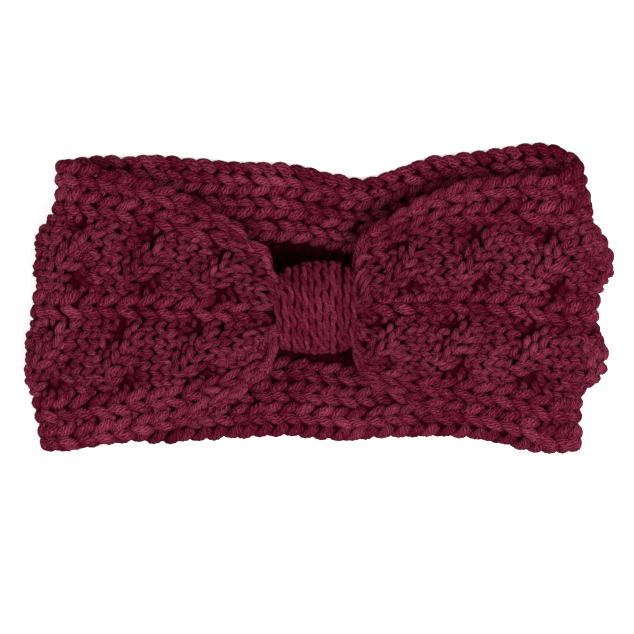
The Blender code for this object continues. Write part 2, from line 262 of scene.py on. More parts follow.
def front_layer(x, across, face):
    """Place across and height of the front layer's face, at its gutters."""
    side = np.where(x < 0, -1, 1)
    place = np.clip((np.abs(x) - BUNDLE_RUN) / (HALF_LENGTH - BUNDLE_RUN), 0.0, 1.0)
    top, bottom = front_edges(x)
    table = list(zip(*FRONT_SECTIONS))
    gathered = np.clip(smooth(table[0], table[5], place), 0.0, 1.0)
    roundness = FLAT_ROUNDNESS + (BUNDLE_ROUNDNESS - FLAT_ROUNDNESS) * np.sqrt(gathered)
    straight = 2.0 * across - 1.0
    placed = 0.5 + 0.5 * (straight * (1.0 - gathered) + np.sin(math.pi / 2 * straight) * gathered)
    half = (FABRIC + gathered * (BUNDLE_THICKNESS - FABRIC)) / 2
    flat_underside = FABRIC + HEAD_GAP
    middle = flat_underside + gathered * (BUNDLE_UNDERSIDE - flat_underside) + half
    reach = half * envelope(placed, roundness)
    valleys = folds(across, place, side)
    outer = reach - RIB_RISE - valleys
    inner = -reach + INNER_RIB_RISE + valleys * INNER_FOLD_SHARE
    return bottom + (top - bottom) * placed, middle + np.where(face > 0, outer, inner)


def cloth(run, across, face):
    """Points of the cloth's outer (1) or inner (-1) face, at its gutters."""
    run, across = np.broadcast_arrays(np.asarray(run, float) % ROUND, np.asarray(across, float))
    right = turn_start(across, 1)
    left = turn_start(across, -1)
    arm_x = np.select(
        [run <= BACK, run < UNDER_WRAP],
        [
            BUNDLE_RUN + (right - BUNDLE_RUN) * np.minimum(run, 1.0),
            -BUNDLE_RUN - (left - BUNDLE_RUN) * np.minimum(UNDER_WRAP - run, 1.0),
        ],
        2.0 * BUNDLE_RUN * (run - UNDER_WRAP) - BUNDLE_RUN,
    )
    front_y, front_z = front_layer(arm_x, across, face)
    back_x = right - (right + left) * np.clip(run - BACK, 0.0, 1.0)
    table = list(zip(*BACK_EDGES))
    place = np.clip(back_x / HALF_LENGTH, table[0][0], table[0][-1])
    top = smooth(table[0], table[1], place) * HALF_WIDTH
    bottom = -smooth(table[0], table[2], place) * HALF_WIDTH
    back_y = bottom + (top - bottom) * across
    rise = np.where(run < BACK, BACK - run, run - LEFT_TURN)
    rise = np.clip(rise, 0.0, 1.0)
    pressed = np.clip(1.0 - rise / PRESSED_RISE, 0.0, 1.0)
    reach = FABRIC / 2 * envelope(across, FLAT_ROUNDNESS)
    lying = np.minimum(FABRIC / 2, reach * FLAT_PRESS)
    outer = lying * pressed + reach * (1.0 - pressed) - RIB_RISE
    offset = np.where(face > 0, outer, INNER_RIB_RISE - reach)
    angle = math.pi * (rise - 0.5)
    turn_x = np.where(run < BACK, 1.0, -1.0) * (
        np.where(run < BACK, right, left) + (TURN_RADIUS + offset) * np.cos(angle)
    )
    turn_y = back_y + (front_y - back_y) * rise
    turn_z = TURN_HEIGHT + (TURN_RADIUS + offset) * np.sin(angle)
    on_front = (run <= RIGHT_TURN) | (run >= LEFT_ARM)
    on_back = (run >= BACK) & (run <= LEFT_TURN)
    x = np.select([on_front, on_back], [arm_x, back_x], turn_x)
    y = np.select([on_front, on_back], [front_y, back_y], turn_y)
    z = np.select([on_front, on_back], [front_z, FABRIC / 2 - offset], turn_z)
    return np.stack([x, y, z], axis=-1) + SHIFT


def unit(vectors):
    return vectors / np.maximum(np.linalg.norm(vectors, axis=-1, keepdims=True), 1e-12)


def on_cloth(run, across, height, face):
    """Points at a height over the cloth's face, the way out of the face there, and how far the gathers have
    drawn the columns together."""
    across = np.clip(across, EDGE_INSET / 2, 1.0 - EDGE_INSET / 2)
    base = cloth(run, across, face)
    along = cloth(run + RUN_STEP, across, face) - cloth(run - RUN_STEP, across, face)
    over = cloth(run, across + RUN_STEP, face) - cloth(run, across - RUN_STEP, face)
    out = unit(np.cross(along, over)) * face
    drawn = np.linalg.norm(over, axis=-1) / (2.0 * RUN_STEP * BAND_WIDTH)
    return base + out * np.asarray(height)[..., None], out, drawn


class Value:
    """A shader socket. Arithmetic on it adds the Math nodes that work it out."""

    def __init__(self, finish, socket):
        self.finish = finish
        self.socket = socket

    def maths(self, operation, *values):
        return self.finish.node("ShaderNodeMath", {"operation": operation}, dict(enumerate(values)))

    def output(self, name):
        """Another output of the node that this socket belongs to."""
        return Value(self.finish, self.socket.node.outputs[name])

    def __add__(self, other):
        return self.maths("ADD", self, other)

    def __sub__(self, other):
        return self.maths("SUBTRACT", self, other)

    def __mul__(self, other):
        return self.maths("MULTIPLY", self, other)

    def sine(self):
        return self.maths("SINE", self)


class Finish:
    """One material, and the method that adds a node to it."""

    def __init__(self, name):
        self.material = bpy.data.materials.new(name)
        self.material.use_nodes = True
        self.tree = self.material.node_tree
        self.shader = self.tree.nodes["Principled BSDF"]

    def node(self, kind, settings, inputs, output=0):
        """A node of that type, with its settings made first and then its sockets' values or links."""
        made = self.tree.nodes.new(kind)
        for name, setting in settings.items():
            setattr(made, name, setting)
        for name, value in inputs.items():
            if isinstance(value, Value):
                self.tree.links.new(value.socket, made.inputs[name])
            else:
                made.inputs[name].default_value = value
        return Value(self, made.outputs[output])

    def drive(self, name, value):
        self.tree.links.new(value.socket, self.shader.inputs[name])


# Painted shade: the yarn's crimson darkened for the cloth that shows between the stitches and between the
# wrap's turns.
PAINTED_SHADE_CRIMSON = (0.026, 0.0008, 0.0033, 1.0)


def painted_shade_cloth_finish():
    """The inside of the knitting: the same yarn, packed, and coloured dark as painted shade."""
    finish = Finish("cloth_yarn_painted_shade")
    place = finish.node("ShaderNodeTexCoord", {}, {}, "Object")
    grain = {"Vector": place, "Scale": TUFT_SCALE, "Detail": 3.0}
    tufts = finish.node("ShaderNodeTexNoise", {}, grain, "Fac")
    bump = finish.node("ShaderNodeBump", {}, {"Height": tufts, "Strength": 0.6, "Distance": TUFT_DEPTH})
    finish.shader.inputs["Base Color"].default_value = PAINTED_SHADE_CRIMSON
    finish.shader.inputs["Roughness"].default_value = YARN_ROUGHNESS
    finish.shader.inputs["Specular IOR Level"].default_value = 0.0
    finish.drive("Normal", bump)
    return finish.material


def mesh_piece(name, points, faces, material):
    mesh = bpy.data.meshes.new(name)
    mesh.from_pydata(points.tolist(), [], faces)
    mesh.materials.append(material)
    mesh.shade_smooth()
    piece = bpy.data.objects.new(name, mesh)
    bpy.context.scene.collection.objects.link(piece)
    return piece


def ring_skin(name, rings, material):
    """A closed skin through rings of points that themselves run once round."""
    count, ring, _ = rings.shape
    faces = []
    for row in range(count):
        here = row * ring
        after = (row + 1) % count * ring
        for index in range(ring):
            beside = (index + 1) % ring
            faces.append((here + index, here + beside, after + beside, after + index))
    return mesh_piece(name, rings.reshape(-1, 3), faces, material)


def cloth_mesh():
    """A closed skin a little under the gutters of both faces, once round the loop."""
    runs = np.linspace(0.0, ROUND, CLOTH_STEPS, endpoint=False)[:, None]
    across = np.linspace(EDGE_INSET, 1.0 - EDGE_INSET, CLOTH_ACROSS)[None, :]
    depth = np.full((CLOTH_STEPS, CLOTH_ACROSS), -CLOTH_DEPTH)
    outer, _, _ = on_cloth(runs, across, depth, 1)
    inner, _, _ = on_cloth(runs, across, depth, -1)
    return ring_skin("band_cloth", np.concatenate([outer, inner[:, ::-1]], axis=1), painted_shade_cloth_finish())


band_cloth = cloth_mesh()
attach(band_cloth, "root")
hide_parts("band")

# The ribs.
# Columns of large knit stitches along both edges and down the middle of the front, in thick softly twisted
# yarn. Each stitch shows two plump legs that lean apart, with a dark hole between them.
YARN_RADIUS = 0.00215
YARN_DEPTH = 0.0018
RIB_PITCH = 0.0071
RIB_SIDES = 10
CABLE_SIDES = 8
PLY_DEPTH = 0.06
PLY_PITCH = 0.0095
RUN_SCALE = 1000.0
START_SHIFT = 40.0
UNDER_WRAP_REACH = 0.004
LIFT_UNEVENNESS = 0.00018
STEEP_PLUMPNESS = 0.25
STEEP_CROWDING = 0.45
# Painted shade and highlight: how much darker yarn is coloured per metre that it lies lower, and the most
# height that still makes it lighter.
DEPTH_SHADE = 800.0
HIGHLIGHT_HEIGHT_CAP = 0.0005
ROUTE_STEPS = 3000
RIB_UNEVENNESS = 0.06
SIZE_UNEVENNESS = 0.04
MOST_DRAWN = 0.35
LEAST_DRAWN = 1.1
DRAWN_THINNING = 0.7

# Columns: place along the stitch in pitches, place from the column's middle to its side, height as a share of
# the yarn's depth, thickness.
RIB_LEG = (
    (0.00, 0.10, -0.60, 0.70),
    (0.15, 0.15, 0.00, 0.92),
    (0.35, 0.26, 0.38, 1.06),
    (0.60, 0.43, 0.55, 1.12),
    (0.85, 0.60, 0.42, 1.12),
    (1.05, 0.72, -0.10, 0.96),
    (1.22, 0.77, -0.85, 0.62),
)
RIB_RINGS = 9

# The yarn's fibres: how many lighter lines run round it, their slant, how the fine fibres are stretched, and
# the shares of the lines, the fibres, each stitch's own tint with its painted depth shade and the cloth's
# patches in its colour and bumps. The lighter lines are the plies' crests, with painted highlight on them.
FIBRE_LINES = 9.0
FIBRE_SLANT = 0.85
LINE_SHARE = 0.34
LINE_DRIFT = 2.2
LINE_RISE = 1.2
FIBRE_SCALE = 1.6
FIBRES_ROUND = 1.7
FIBRES_ALONG = 0.35
FIBRES_TWIST = 1.2
FIBRE_SHARE = 1.2
FIBRE_RISE = 0.8
TINT_AND_SHADE_SHARE = 0.19
PATCH_SHARE = 0.35
SHADE_DROP = 0.1
DRIFT_SCALE = 650.0
PATCH_SCALE = 60.0
BUMP_STRENGTH = 0.9
BUMP_DEPTH = 0.0005
DARK_STOP = 0.12
LIGHT_STOP = 0.95

# Ramp colours of the yarn. The palest is the lighter fibres with painted sheen on them; the deepest is also
# the painted shade of yarn that lies deep.
LIGHT_CRIMSON = (0.242, 0.0375, 0.0745, 1.0)
CRIMSON = (0.069, 0.0030, 0.0115, 1.0)
DEEP_CRIMSON = (0.031, 0.0008, 0.0036, 1.0)


def yarn_finish(name, dark, middle, light, lines_round, line_share):
    """Soft yarn: fine fibres run along it on a slant, some lighter with painted sheen, and each stitch has
    its own tint, with painted shade where it lies deep and painted highlight where it stands high.
    """
    finish = Finish(name)
    position = finish.node("ShaderNodeUVMap", {"uv_map": "yarn"}, {})
    along = finish.node("ShaderNodeSeparateXYZ", {}, {"Vector": position}, "X")
    around = along.output("Y")
    place = finish.node("ShaderNodeTexCoord", {}, {}, "Object")
    waves = {"Vector": place, "Scale": DRIFT_SCALE, "Detail": 1.0}
    drift = finish.node("ShaderNodeTexNoise", {}, waves, "Fac")
    turned = around * lines_round - along * FIBRE_SLANT
    lines = ((turned + drift * LINE_DRIFT) * (2.0 * math.pi)).sine() * 0.5 + 0.5
    stretched = {"X": turned * FIBRES_ROUND, "Y": along * FIBRES_ALONG + around * FIBRES_TWIST}
    lain = finish.node("ShaderNodeCombineXYZ", {}, stretched)
    grain = {"Vector": lain, "Scale": FIBRE_SCALE, "Detail": 5.0, "Roughness": 0.7}
    fibres = finish.node("ShaderNodeTexNoise", {}, grain, "Fac")
    tint_and_depth_shade = finish.node("ShaderNodeAttribute", {"attribute_name": "tint_and_depth_shade"}, {}, "Fac")
    blotches = {"Vector": place, "Scale": PATCH_SCALE, "Detail": 2.0}
    patches = finish.node("ShaderNodeTexNoise", {}, blotches, "Fac")
    shade = (lines - 0.5) * line_share + fibres * FIBRE_SHARE + (tint_and_depth_shade - 0.5) * TINT_AND_SHADE_SHARE
    shade = shade + (patches - 0.5) * PATCH_SHARE - SHADE_DROP
    ramp = finish.node("ShaderNodeValToRGB", {}, {"Fac": shade})
    stops = ramp.socket.node.color_ramp.elements
    stops[0].position = DARK_STOP
    stops[0].color = dark
    stops[1].position = LIGHT_STOP
    stops[1].color = light
    between = stops.new(0.5)
    between.color = middle
    finish.drive("Base Color", ramp)
    height = lines * line_share * LINE_RISE + fibres * FIBRE_RISE
    raised = {"Height": height, "Strength": BUMP_STRENGTH, "Distance": BUMP_DEPTH}
    finish.drive("Normal", finish.node("ShaderNodeBump", {}, raised))
    finish.shader.inputs["Roughness"].default_value = YARN_ROUGHNESS
    finish.shader.inputs["Specular IOR Level"].default_value = 0.0
    return finish.material


def yarn_piece(name, centre, up, radius, depth, material, sides, chance, height=0.0):
    """One mesh of many short strands. Centre and up are points and ways out for each ring of each strand.
    By its height, yarn that lies deeper in the knitting is coloured darker as painted shade, and raised yarn
    lighter as painted highlight, on top of each strand's own random tint."""
    count, rings, _ = centre.shape
    ahead = unit(np.gradient(centre, axis=1))
    aside = unit(np.cross(ahead, up))
    above = np.cross(aside, ahead)
    steps = np.linalg.norm(np.diff(centre, axis=1), axis=-1)
    length = np.concatenate([np.zeros((count, 1)), np.cumsum(steps, axis=1)], axis=1)
    start = chance.uniform(0.0, 1.0, (count, 1))
    angle = 2.0 * math.pi * np.arange(sides) / sides - math.pi / 2
    twist = 2.0 * math.pi * (length / PLY_PITCH + start)
    lobes = 1.0 - PLY_DEPTH * (0.5 - 0.5 * np.cos(2.0 * (angle - twist[..., None])))
    across = aside[:, :, None] * (radius[..., None] * np.cos(angle) * lobes)[..., None]
    upward = above[:, :, None] * (depth[..., None] * np.sin(angle) * lobes)[..., None]
    points = (centre[:, :, None] + across + upward).reshape(-1, 3)
    points[:, 2] = np.maximum(points[:, 2], 0.0)
    strand = np.arange(count)[:, None, None] * rings * sides
    ring = np.arange(rings - 1)[None, :, None] * sides
    corner = np.arange(sides)[None, None, :]
    beside = (corner + 1) % sides
    first = strand + ring
    quads = np.stack(
        [first + corner, first + beside, first + sides + beside, first + sides + corner], axis=-1
    ).reshape(-1, 4)
    ends = np.arange(count)[:, None] * rings * sides
    near = ends + np.arange(sides)[None, ::-1]
    far = ends + (rings - 1) * sides + np.arange(sides)[None, :]
    caps = np.concatenate([near, far])
    piece = mesh_piece(name, points, quads.tolist() + caps.tolist(), material)
    mesh = piece.data
    run = (length * RUN_SCALE + start * START_SHIFT)[..., None] + np.zeros(sides)
    turn = np.zeros((count, rings, 1)) + np.arange(sides) / sides
    at_corners = np.stack([run, turn], axis=-1).reshape(-1, 2)
    quad_uv = at_corners[quads]
    wraps = np.broadcast_to(beside == 0, (count, rings - 1, sides)).reshape(-1)
    quad_uv[wraps, 1, 1] = 1.0
    quad_uv[wraps, 2, 1] = 1.0
    uv = np.concatenate([quad_uv.reshape(-1, 2), at_corners[caps].reshape(-1, 2)])
    mesh.uv_layers.new(name="yarn").data.foreach_set("uv", uv.astype(np.float32).ravel())
    tint_and_depth_shade = chance.uniform(0.0, 1.0, (count, 1)) + np.broadcast_to(height, (count, rings)) * DEPTH_SHADE
    tint_and_depth_shade = np.repeat(tint_and_depth_shade.ravel(), sides)
    mesh.attributes.new("tint_and_depth_shade", "FLOAT", "POINT").data.foreach_set("value", tint_and_depth_shade.astype(np.float32))
    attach(piece, "root")
    return piece


def round_distances(across, face):
    """Distance along the face from the wrap's end to each place round the loop, at one place across."""
    turn = math.pi * (TURN_RADIUS + face * FABRIC / 2)
    at = np.array([across])
    right = float(turn_start(at, 1)[0])
    left = float(turn_start(at, -1)[0])
    lengths = [right - BUNDLE_RUN, turn, right + left, turn, left - BUNDLE_RUN]
    return np.concatenate([[0.0], np.cumsum(lengths)])


def to_run(distance, knots):
    """Place round the loop at a distance from the wrap's end. It goes on under the wrap at both ends."""
    run = np.interp(distance, knots, np.arange(len(knots)))
    under = 1.0 / (2.0 * BUNDLE_RUN)
    run = np.where(distance < 0.0, distance * under, run)
    return np.where(distance > knots[-1], UNDER_WRAP + (distance - knots[-1]) * under, run)


def leg_places(table, rings):
    """A leg's table read at even steps along it."""
    rows = np.array(table)
    at = np.linspace(rows[0, 0], rows[-1, 0], rings)
    return [at] + [smooth(rows[:, 0], rows[:, column], at) for column in (1, 2, 3)]


def route(knots, path, reach):
    """A column's path as a table: the stitch length used up so far, distance, place across, height and slope.
    Steep stretches use up more, so they hold more stitches, which are a little longer too."""
    distance = np.linspace(-reach, knots[-1] + reach, ROUTE_STEPS)
    place, height = path(distance)
    slope = np.gradient(place * BAND_WIDTH, distance)
    steps = np.diff(distance) * (1.0 + slope[1:] ** 2) ** (STEEP_CROWDING / 2)
    return np.concatenate([[0.0], np.cumsum(steps)]), distance, place, height, slope


def stitch_legs(course, pitch, half_width, table, rings, chance, unevenness):
    """Distance, place across, height and thickness along the two legs of every stitch of a column."""
    along, aside, lift, thick = leg_places(table, rings)
    used, *columns = course
    count = round(used[-1] / pitch)
    rows = np.linspace(pitch / 2, used[-1] - (table[-1][0] + 0.5) * pitch, count)
    rows = rows + chance.uniform(-0.5, 0.5) * pitch
    parts = []
    for side in (-1.0, 1.0):
        foot = rows + chance.normal(0.0, unevenness * pitch, count)
        at = foot[:, None] + along[None, :] * pitch
        distance, place, height, slope = [np.interp(at, used, column) for column in columns]
        bent = np.sqrt(1.0 + slope**2)
        out = side * aside[None, :] * half_width * chance.normal(1.0, unevenness, (count, 1))
        distance = distance - slope / bent * out
        place = place + out / bent / BAND_WIDTH
        height = height + lift[None, :] * YARN_DEPTH + chance.normal(0.0, LIFT_UNEVENNESS, (count, 1))
        parts.append((distance, place, height, thick[None, :] * bent**STEEP_PLUMPNESS))
    return [np.concatenate([part[index] for part in parts]) for index in range(4)]


def rib_path(middle, height):
    return lambda distance: (np.full_like(distance, middle), np.full_like(distance, height))


def lay_yarn(name, strands, radius, depth, material, seed, sides):
    """Lays strands, given as (run, across, height, thickness, face), on the cloth as one piece."""
    chance = np.random.default_rng(seed)
    centres, ups, radii, depths, heights = [], [], [], [], []
    for run, across, height, thick, face in strands:
        points, out, drawn = on_cloth(run, across, height, face)
        size = chance.normal(1.0, SIZE_UNEVENNESS, (len(run), 1))
        squeezed = np.clip(drawn, MOST_DRAWN, LEAST_DRAWN) ** DRAWN_THINNING
        centres.append(points)
        ups.append(out)
        radii.append(radius * thick * size * squeezed)
        depths.append(depth * thick * size)
        heights.append(height)
    # Painted shade and highlight: each strand's height against the piece's median colours it darker when
    # lower and lighter when higher, with the lightening capped.
    heights = np.concatenate(heights)
    piece = yarn_piece(
        name,
        np.concatenate(centres),
        np.concatenate(ups),
        np.concatenate(radii),
        np.concatenate(depths),
        material,
        sides,
        chance,
        np.minimum(heights - np.median(heights), HIGHLIGHT_HEIGHT_CAP),
    )
    return piece


band_yarn = yarn_finish("band_yarn_knit", DEEP_CRIMSON, CRIMSON, LIGHT_CRIMSON, FIBRE_LINES, LINE_SHARE)


def rib_strands():
    chance = np.random.default_rng(11)
    strands = []
    for kind, start, end in column_spans(COLUMNS):
        if kind != "rib":
            continue
        middle = (start + end) / 2
        knots = round_distances(middle, 1)
        course = route(knots, rib_path(middle, 0.0), UNDER_WRAP_REACH)
        half = (end - start) * BAND_WIDTH / 2
        distance, across, height, thick = stitch_legs(
            course, RIB_PITCH, half, RIB_LEG, RIB_RINGS, chance, RIB_UNEVENNESS
        )
        strands.append((to_run(distance, knots), across, height, thick, 1))
    return strands


outer_ribs = lay_yarn("outer_ribs", rib_strands(), YARN_RADIUS, YARN_DEPTH, band_yarn, 12, RIB_SIDES)

# The cables.
# Two rope cables of six fine columns each. Three columns at a time pass over the other three, always rising
# to the right, and leave hollows at the corners of each crossing, dark from their depth and from painted
# shade.
CABLE_PITCH = 0.0275
CABLE_ROW = 0.0042
WALE_SHARE = 1 / 3
STRAND_HALF = 0.52
CABLE_RADIUS = 0.00136
CABLE_DEPTH = 0.0013
OVER_LIFT = 0.0030
UNDER_DROP = 0.0029
TURN_DROP_SHARE = 0.4
TURN_LEAD = 0.1
TURN_EASE = 3.0
HELD_REACH = 0.010
LYING_FADE = 0.7
CUSHION_DROP = 0.0011
CROSSING_LENGTH = 0.52
CROSSING_STRAIGHTNESS = 0.55
CROSSING_SPREAD = -0.06
SIDE_LIFT = 0.45
CABLE_UNEVENNESS = 0.12
CABLE_RINGS = 8

# How far each cable's first crossing lies from the wrap's middle, as a share of the pitch.
# Columns: left, right.
FIRST_CROSSINGS = ((0.24, 0.18), (0.60, 0.88))

# Columns as in a rib's leg.
CABLE_LEG = (
    (0.00, 0.02, -1.10, 0.62),
    (0.18, 0.22, -0.10, 0.92),
    (0.42, 0.50, 0.42, 1.12),
    (0.66, 0.76, 0.36, 1.12),
    (0.86, 0.95, -0.25, 0.92),
    (1.00, 1.05, -1.25, 0.62),
)


def cable_turns(distance, knots, first):
    """How many crossings a cable has made at a distance along it, fitted to whole turns round the loop."""
    right = (BUNDLE_RUN + distance) / CABLE_PITCH - first[1]
    left = first[0] - (BUNDLE_RUN + knots[-1] - distance) / CABLE_PITCH
    whole = np.round(np.mean((right - left).flat[0]))
    share = np.clip((distance - knots[2]) / (knots[3] - knots[2]), 0.0, 1.0)
    return right * (1.0 - share) + (left + whole) * share


def cable_path(knots, first, start, end, strand, wale):
    """The path of one column of a cable's stitches."""

    def path(distance):
        turns = cable_turns(distance, knots, first)
        crossing = np.round(turns)
        swap = np.clip((turns - crossing) / CROSSING_LENGTH + 0.5, 0.0, 1.0)
        over = np.where((crossing + strand) % 2 == 0, 1.0, -1.0)
        eased = 0.5 - 0.5 * np.cos(math.pi * swap)
        centre = (eased + (swap - eased) * CROSSING_STRAIGHTNESS - 0.5) * over
        crossed = np.sin(math.pi * swap) ** 2
        offset = wale * WALE_SHARE * (1.0 + CROSSING_SPREAD * crossed)
        roundness = math.sqrt(1.0 - (wale * WALE_SHARE / STRAND_HALF) ** 2)
        run = to_run(distance, knots)
        flat = np.clip((run - (BACK - LYING_FADE)) / LYING_FADE, 0.0, 1.0)
        flat = flat * np.clip((LEFT_TURN + LYING_FADE - run) / LYING_FADE, 0.0, 1.0)
        top = (RIB_RISE + CABLE_EXTRA * (1.0 - flat)) * roundness
        held = np.clip(np.minimum(distance, knots[-1] - distance) / HELD_REACH, 0.0, 1.0)
        near = held * np.cos(math.pi * (turns - crossing)) ** 2
        raised = OVER_LIFT * (1.0 - flat) * near * (SIDE_LIFT if wale else 1.0)
        from_arms = np.minimum(run - (RIGHT_TURN - TURN_LEAD), LEFT_ARM + TURN_LEAD - run)
        on_turn = np.clip(TURN_EASE * from_arms, 0.0, 1.0)
        drop = UNDER_DROP * (1.0 - (1.0 - TURN_DROP_SHARE) * on_turn)
        lift = np.where(over > 0, raised, -drop * near)
        from_middle = centre + offset
        cushion = CUSHION_DROP * from_middle**2 * (1.0 - flat)
        return (start + end) / 2 + from_middle * (end - start) / 2, top - CABLE_DEPTH + lift - cushion

    return path


def cable_strands(index, seed):
    chance = np.random.default_rng(seed)
    _, start, end = [span for span in column_spans(COLUMNS) if span[0] == "cable"][index]
    knots = round_distances((start + end) / 2, 1)
    half = (end - start) * BAND_WIDTH / 2 * WALE_SHARE / 2
    strands = []
    for strand in (0, 1):
        for wale in (-1, 0, 1):
            path = cable_path(knots, FIRST_CROSSINGS[index], start, end, strand, wale)
            course = route(knots, path, UNDER_WRAP_REACH)
            distance, across, height, thick = stitch_legs(
                course, CABLE_ROW, half, CABLE_LEG, CABLE_RINGS, chance, CABLE_UNEVENNESS
            )
            strands.append((to_run(distance, knots), across, height, thick, 1))
    return strands


upper_cable = lay_yarn(
    "upper_cable", cable_strands(0, 21), CABLE_RADIUS, CABLE_DEPTH, band_yarn, 22, CABLE_SIDES
)
lower_cable = lay_yarn(
    "lower_cable", cable_strands(1, 23), CABLE_RADIUS, CABLE_DEPTH, band_yarn, 24, CABLE_SIDES
)

# The gutters.
# Reverse stitches in the same yarn, knitted in one with the columns on each side. They lie deep between the
# ribs and the cables, and show as a row of small shaded bumps.
GUTTER_ROW = 0.0040
GUTTER_HALF = 0.024
GUTTER_RADIUS = 0.0014
GUTTER_LIFT = -0.0003
GUTTER_SIDES = 6
BUMP_BOW = 0.0016
BOW_START = 0.4
BUMP_UNEVENNESS = 0.05

# Columns: place along the bump, place across, height, thickness, as in a leg's table.
REVERSE_BUMP = (
    (0.00, -0.80, -0.90, 0.60),
    (0.25, -0.45, 0.10, 0.95),
    (0.45, 0.00, 0.40, 1.05),
    (0.65, 0.45, 0.10, 0.95),
    (0.90, 0.80, -0.90, 0.60),
)


def reverse_column(middle, half, row, lift, face, shift, chance):
    """One column of reverse stitches, each a small bump that bows over the cloth."""
    knots = round_distances(middle, face)
    table = np.array(REVERSE_BUMP)
    rows = np.linspace(0.0, knots[-1], round(knots[-1] / row)) + shift * row
    foot = rows + chance.normal(0.0, BUMP_UNEVENNESS * row, len(rows))
    distance = foot[:, None] + (BOW_START - np.abs(table[None, :, 1])) * BUMP_BOW
    across = middle + half * table[None, :, 1] + np.zeros_like(distance)
    height = table[None, :, 2] * CABLE_DEPTH + lift + np.zeros_like(distance)
    thick = table[None, :, 3] + np.zeros_like(distance)
    return to_run(distance, knots), across, height, thick, face


def gutter_strands():
    chance = np.random.default_rng(71)
    borders = [start for _, start, _ in column_spans(COLUMNS)[:-1]]
    return [
        reverse_column(border, GUTTER_HALF, GUTTER_ROW, GUTTER_LIFT, 1, chance.uniform(), chance)
        for border in borders
    ]


outer_gutters = lay_yarn(
    "outer_gutters", gutter_strands(), GUTTER_RADIUS, CABLE_DEPTH, band_yarn, 72, GUTTER_SIDES
)

# The inner face.
# The wearer's side, seen above and below the gathered front: three ribs of large stitches along each edge,
# and the cables' reverse between them, where each stitch shows as a small bump.
INNER_RIB_PITCH = 0.0065
INNER_YARN_RADIUS = 0.0020
INNER_RIB_LIFT = -0.0003
REVERSE_ROW = 0.0042
REVERSE_COLUMNS = 10
REVERSE_RADIUS = 0.00135
REVERSE_SIDES = 6
REVERSE_LIFT = -0.0004
REVERSE_HALF_SHARE = 0.62

SHADED_LIGHT = (0.036, 0.0026, 0.0078, 1.0)
SHADED_CRIMSON = (0.017, 0.0010, 0.0034, 1.0)
SHADED_DEEP = (0.006, 0.0003, 0.0010, 1.0)

# Columns: kind, share of the width, from edge to edge.
INNER_COLUMNS = (
    ("plain", 0.040),
    ("rib", 0.082),
    ("rib", 0.082),
    ("rib", 0.082),
    ("reverse", 0.428),
    ("rib", 0.082),
    ("rib", 0.082),
    ("rib", 0.082),
    ("plain", 0.040),
)


def inner_rib_strands():
    chance = np.random.default_rng(31)
    strands = []
    for kind, start, end in column_spans(INNER_COLUMNS):
        if kind != "rib":
            continue
        middle = (start + end) / 2
        knots = round_distances(middle, -1)
        course = route(knots, rib_path(middle, INNER_RIB_LIFT), 0.0)
        half = (end - start) * BAND_WIDTH / 2
        distance, across, height, thick = stitch_legs(
            course, INNER_RIB_PITCH, half, RIB_LEG, RIB_RINGS, chance, RIB_UNEVENNESS
        )
        if middle < 0.5:
            distance = knots[-1] - distance
        strands.append((to_run(distance, knots), across, height, thick, -1))
    return strands


inner_ribs = lay_yarn(
    "inner_ribs", inner_rib_strands(), INNER_YARN_RADIUS, YARN_DEPTH, band_yarn, 32, CABLE_SIDES
)


def reverse_strands():
    chance = np.random.default_rng(41)
    _, start, end = [span for span in column_spans(INNER_COLUMNS) if span[0] == "reverse"][0]
    strands = []
    for column in range(REVERSE_COLUMNS):
        middle = start + (end - start) * (column + 0.5) / REVERSE_COLUMNS
        half = (end - start) / REVERSE_COLUMNS * REVERSE_HALF_SHARE
        shift = 0.5 * (column % 2)
        strands.append(reverse_column(middle, half, REVERSE_ROW, REVERSE_LIFT, -1, shift, chance))
    return strands


shaded_yarn = yarn_finish(
    "band_yarn_shaded", SHADED_DEEP, SHADED_CRIMSON, SHADED_LIGHT, FIBRE_LINES, LINE_SHARE
)
inner_reverse = lay_yarn(
    "inner_reverse", reverse_strands(), REVERSE_RADIUS, CABLE_DEPTH, shaded_yarn, 42, REVERSE_SIDES
)

# The two edges of the cloth.
# The outermost yarn of every row turns over from one face to the other, so each edge is a row of small round
# bumps, drawn thinner along the front and coloured lighter there as painted highlight.
EDGE_PITCH = 0.0056
EDGE_REACH = 0.0028
EDGE_INWARD = 0.0024
EDGE_RADIUS = 0.0023
EDGE_FLATNESS = 0.62
FRONT_EDGE_SHARE = 0.62
# Painted highlight: how much lighter the front's edge stitches are coloured, given as a height.
EDGE_HIGHLIGHT = 0.0012
EDGE_LEAN = 0.0036
EDGE_ARC = math.radians(100)
EDGE_RIM = 0.012
EDGE_INSIDE = 0.035
EDGE_UNEVENNESS = 0.0003
REACH_UNEVENNESS = 0.1
EDGE_DEPTH_SHARE = 0.8
EDGE_RINGS = 11
EDGE_SIDES = 10


